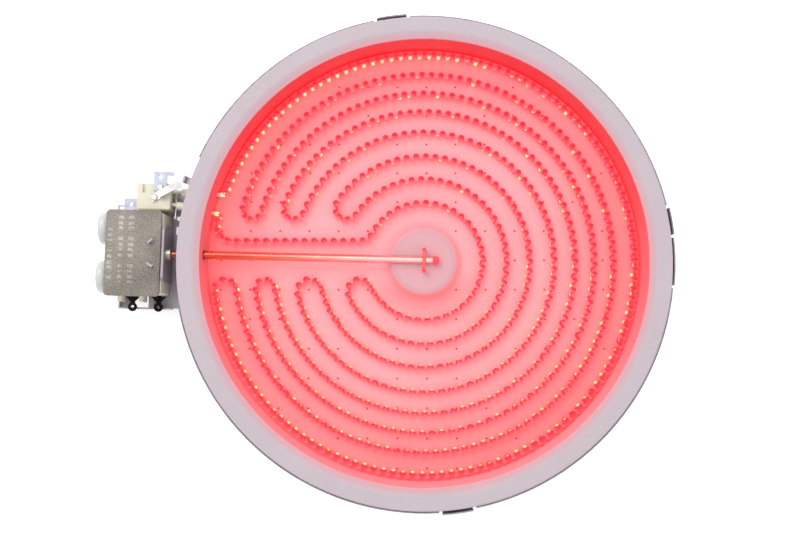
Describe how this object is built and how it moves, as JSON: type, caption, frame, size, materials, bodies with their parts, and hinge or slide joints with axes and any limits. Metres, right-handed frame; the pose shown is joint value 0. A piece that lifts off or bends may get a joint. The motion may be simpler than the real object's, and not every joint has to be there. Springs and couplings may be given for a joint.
{
  "type": "radiant ribbon heater",
  "caption": "Radiant ribbon heating element for a glass-ceramic hob, in a sheet-steel dish with an insulating ring and a rod-type temperature limiter at its side.",
  "frame": {"origin": "on the dish's axis at the underside of its floor", "axes": "+Z towards the glass the heater is pressed against, -X towards the temperature limiter"},
  "size_m": [0.2685, 0.2314, 0.0275],
  "materials": {
    "pan_steel": "aluminised sheet steel, satin",
    "galvanised": "galvanised sheet steel, slightly mottled",
    "base_insulation": "pressed microporous insulation, matt, lit by the ribbon",
    "ring_insulation": "moulded insulating ring, matt and fine-grained",
    "ribbon_glow": "oxidised heating alloy, glowing red",
    "nickel": "nickel-plated steel",
    "steatite": "unglazed cream steatite",
    "white_ceramic": "smooth white ceramic",
    "tab_plate": "nickel-plated push-on tab",
    "bright_strap": "bright spring steel strip",
    "hot_wire": "heat-resistant steel lit by the ribbon",
    "quartz": "clear fused quartz",
    "rod_metal": "heat-tinted nickel alloy rod",
    "cover_plate": "rough grey-brown pressed mineral lid",
    "brass_nut": "turned brass",
    "spring_bronze": "spring bronze strip",
    "silver_contact": "silver contact metal",
    "dark_lug": "blackened steel lug"
  },
  "bodies": {
    "heater": {"pan": "pan_steel", "rim_ear": "galvanised", "base_insulation": "base_insulation", "edge_ring": "ring_insulation", "heating_ribbon": "ribbon_glow", "lead_pins": "nickel", "lead_bushes": "steatite", "terminal_block": "steatite", "terminal_rivets": "nickel", "supply_tab": "tab_plate", "lead_strap": "bright_strap", "link_strip": "bright_strap", "hub_staple": "hot_wire", "quartz_tube": "quartz", "rod_end_nut": "hot_wire", "tube_bush": "nickel", "limiter_bracket": "galvanised", "pan_screws": "nickel", "shelf_screws": "nickel", "limiter_frame": "galvanised", "limiter_housing": "steatite", "chamber_caps": "white_ceramic", "calibration_screw": "nickel", "limiter_cover": "cover_plate", "limiter_tab": "tab_plate", "blade_pins": "nickel", "rod_spring": "nickel", "power_fixed_contact": "silver_contact", "signal_fixed_contact": "silver_contact", "power_fixed_strip": "spring_bronze", "signal_fixed_strip": "spring_bronze", "signal_lug_fixed": "dark_lug", "signal_lug_blade": "dark_lug"},
    "rod": {"expansion_rod": "rod_metal", "adjusting_nut": "brass_nut", "push_bar": "white_ceramic"},
    "power_switch": {"power_blade": "spring_bronze", "power_moving_contact": "silver_contact"},
    "signal_switch": {"signal_blade": "spring_bronze", "signal_moving_contact": "silver_contact"}
  },
  "joints": [
    {"name": "rod_slide", "type": "slide", "parent": "heater", "child": "rod", "axis": [-0.9997, 0.0227, 0], "range_m": [0, 0.001], "stiffness_N_per_m": 300},
    {"name": "power_blade_hinge", "type": "hinge", "parent": "heater", "child": "power_switch", "pos_m": [-0.13211, 0.0186, 0.019], "axis": [0, 0, -1], "range_deg": [0, 4.86]},
    {"name": "signal_blade_hinge", "type": "hinge", "parent": "heater", "child": "signal_switch", "pos_m": [-0.13281, -0.01199, 0.019], "axis": [0, 0, 1], "range_deg": [0, 4.86]}
  ],
  "couplings": [
    {"joint": "power_blade_hinge", "follows": "rod_slide", "rad_per_m": 81.301},
    {"joint": "signal_blade_hinge", "follows": "rod_slide", "rad_per_m": 81.301}
  ]
}
